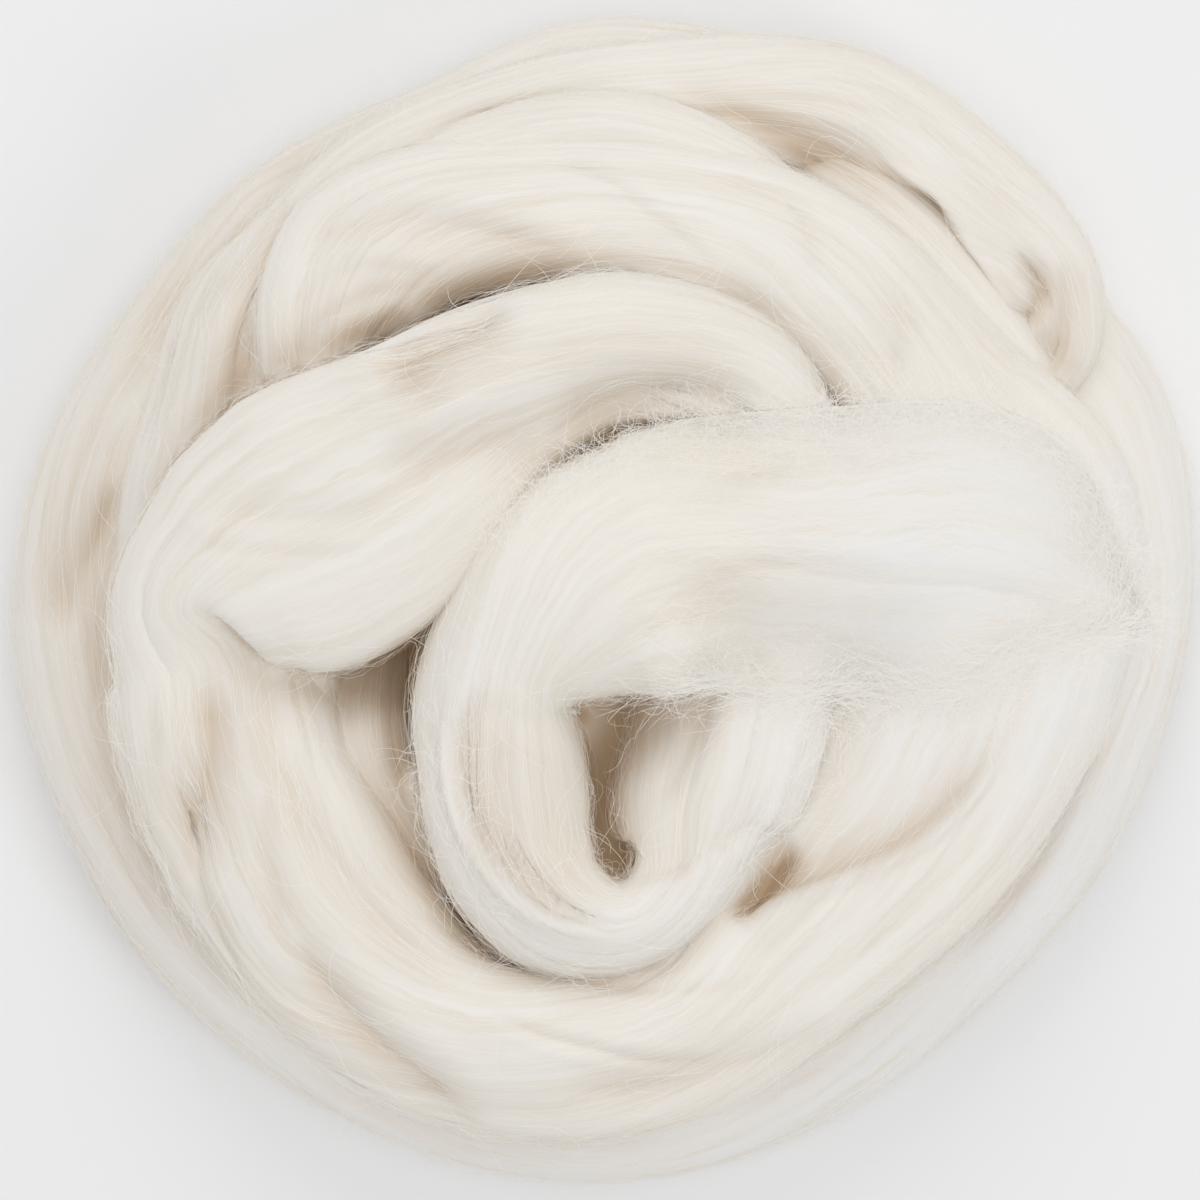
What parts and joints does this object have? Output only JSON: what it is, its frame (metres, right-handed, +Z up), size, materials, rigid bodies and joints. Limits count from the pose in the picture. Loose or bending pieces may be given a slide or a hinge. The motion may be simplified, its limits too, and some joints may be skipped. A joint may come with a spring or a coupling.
{
  "type": "wool roving",
  "caption": "Soft combed wool strand wound by hand into a low round nest with an S bend and a pit, its feathered loose end laid across the top.",
  "frame": {"origin": "on the surface, under the middle of the nest's box", "axes": "+Z up, the side the loose end lies on; +X towards the loose end's tip; +Y towards the back, where the second turn crosses the outer turn"},
  "size_m": [0.2369, 0.2352, 0.067],
  "materials": {
    "wool": "undyed cream combed wool, matt with a soft silky sheen along the fibres"
  },
  "bodies": {
    "root": {"wool_coil": "wool", "loose_end": "wool"}
  },
  "joints": []
}
